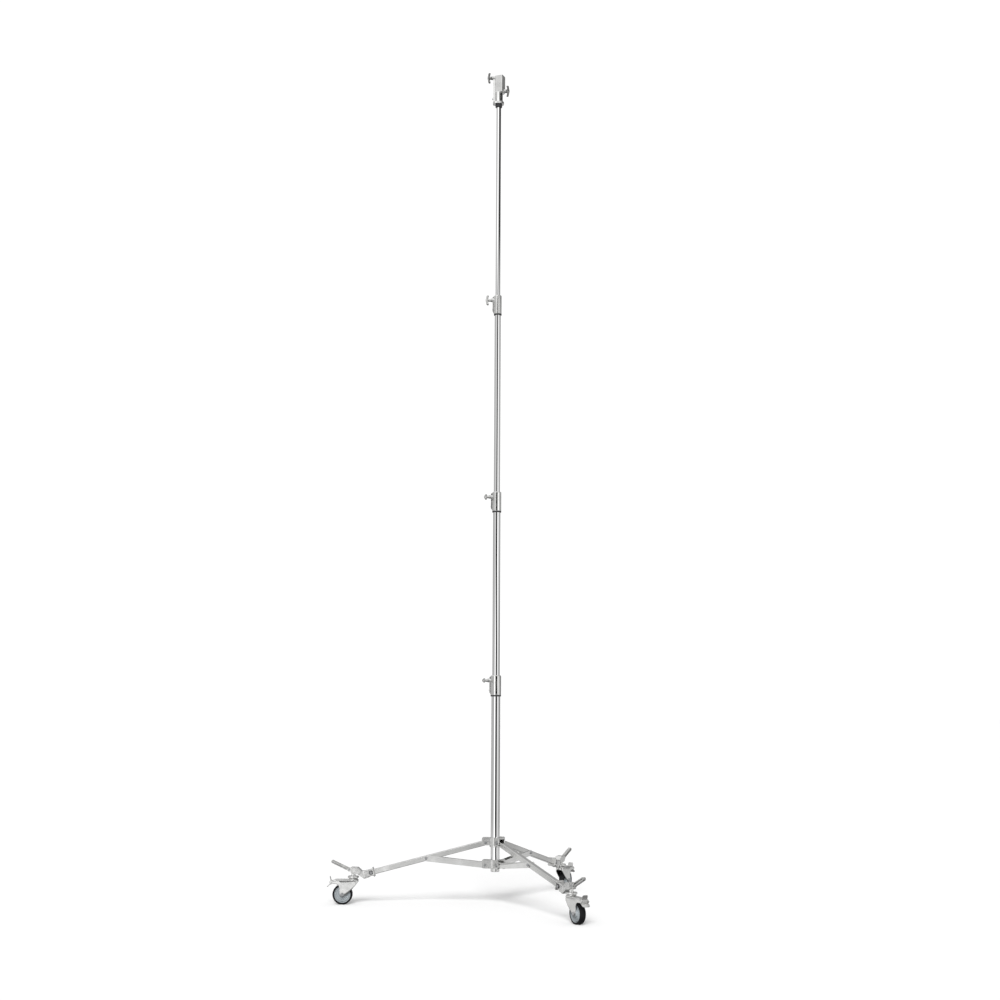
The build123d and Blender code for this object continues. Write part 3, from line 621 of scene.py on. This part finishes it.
def plate_ring(x, z, slope, width, half_t, crown):
    """Cross-section of a thin plate at (x, z) that runs along slope, 2 * width wide and crowned."""
    across = []
    for k in range(9):
        y = width * (-1 + k / 4)
        across.append((y, crown * (1 - (y / width) ** 2)))
    ring = [(y, lift + half_t) for y, lift in across] + [(y, lift - half_t) for y, lift in reversed(across)]
    c, s = math.cos(slope), math.sin(slope)
    return [(x - s * lift, y, z + c * lift) for y, lift in ring]


def build_crown(bm):
    """Turned crown over the fork: swivel race with a raised lip, and the swaged rim around it."""
    lathe(bm, [(114, 6.1), (114, 24), (116, 26.4), (121.5, 26.4), (123.6, 25.4), (124.2, 23), (124.2, 22.2),
               (125.2, 21.8), (129.2, 21.8), (129.6, 21.2), (129.6, 6.1)], "Z", 64, loop=True)


def make_casters():
    for number, azimuth in LEGS.items():
        stem = JOINTS[f"caster_{number}_swivel"]["pos_m"]
        caster = Matrix.Translation((stem[0], stem[1], 0)) @ Matrix.Rotation(math.radians(azimuth), 4, "Z")
        wheel = joint_frame(JOINTS[f"wheel_{number}_spin"], azimuth)
        new_piece(f"caster_{number}_tyre_tread", build_tyre, wheel, f"wheel_{number}", "tyre_rubber",
                  f"caster_{number}_tyre")
        new_piece(f"caster_{number}_wheel_disc", build_core, wheel, f"wheel_{number}", "wheel_grey",
                  f"caster_{number}_wheel_core")
        fork = new_piece(f"caster_{number}_fork_sheet", build_fork, caster, f"fork_{number}", "zinc_steel",
                         f"caster_{number}_fork")
        wall = fork.modifiers.new("wall", "SOLIDIFY")
        wall.thickness = SHEET_MM * MM
        wall.offset = -1
        wall.use_even_offset = True
        new_piece(f"caster_{number}_fork_crown", build_crown, caster, f"fork_{number}", "zinc_steel",
                  f"caster_{number}_fork")
        pedal = joint_frame(JOINTS[f"pedal_{number}_hinge"], azimuth)
        plate = new_piece(f"caster_{number}_pedal_plate", build_pedal, pedal, f"pedal_{number}", "zinc_steel",
                          f"caster_{number}_brake_pedal")
        fuse(plate, 0.7, 2)


# ---------------------------------------------------------------- legs
LEG_DROP = 14.6                      # slope of a leg below the horizontal, degrees
CROSS_SCREW_S = 594.0                # leg pivot to the foot's cross screw, along the leg
SOCKET_HALF = 16.5                   # half width of the foot's socket


def build_shade_rings(bm):
    """Black washer-shaped ring round each head of the cross screw: painted shade, a dark ring standing for the
    shadow round the screw head.
    """
    for side in (1, -1):
        ring = [(side * SOCKET_HALF, 10.6), (side * (SOCKET_HALF + 1.2), 10.6),
                (side * (SOCKET_HALF + 1.8), 9.8), (side * (SOCKET_HALF + 1.8), 4.0),
                (side * SOCKET_HALF, 4.0)]
        lathe(bm, ring, "Y", 40, loop=True)


def make_shade_rings():
    for number, azimuth in LEGS.items():
        leg = joint_frame(JOINTS[f"leg_{number}_hinge"], azimuth)
        screw = leg @ Matrix.Rotation(math.radians(LEG_DROP), 4, "Y") @ Matrix.Translation(
            (CROSS_SCREW_S * MM, 0, 0))
        # Black rings at the screw heads: painted shade round each head of the cross screw
        new_piece(f"leg_{number}_cross_screw_shade_rings", build_shade_rings, screw, f"leg_{number}", "black_plastic")


# ---------------------------------------------------------------- castings and edges of CAD nodes
def soften_castings():
    """Round the die castings, whose CAD solids have sharp machined edges."""
    for name in ("collar_1", "collar_2", "collar_3", "head_casting", "hub", "lower_collar"):
        fuse(NODES[name], CASTING_VOXEL, 3)
    for number in LEGS:
        fuse(NODES[f"leg_{number}_foot_casting"], 0.9, 7)
        sharp_bevel(NODES[f"leg_{number}_lever"], 1.6, 3)
        sharp_bevel(NODES[f"leg_{number}_brace"], 0.8)
        for piece in ("joint_rivets", "foot_fasteners"):
            sharp_bevel(NODES[f"leg_{number}_{piece}"], 0.7)
        sharp_bevel(NODES[f"caster_{number}_axle"], 0.8)
    for name in ("hub_pins", "lower_collar_pins"):
        sharp_bevel(NODES[name], 0.7)


bpy.context.scene.view_settings.view_transform = "Standard"
add_camera()
add_floor()
add_world()
add_sun("key", -96, 34, 3.0, 26)
paint_nodes()
make_handles()
make_knob()
make_casters()
make_shade_rings()
soften_castings()
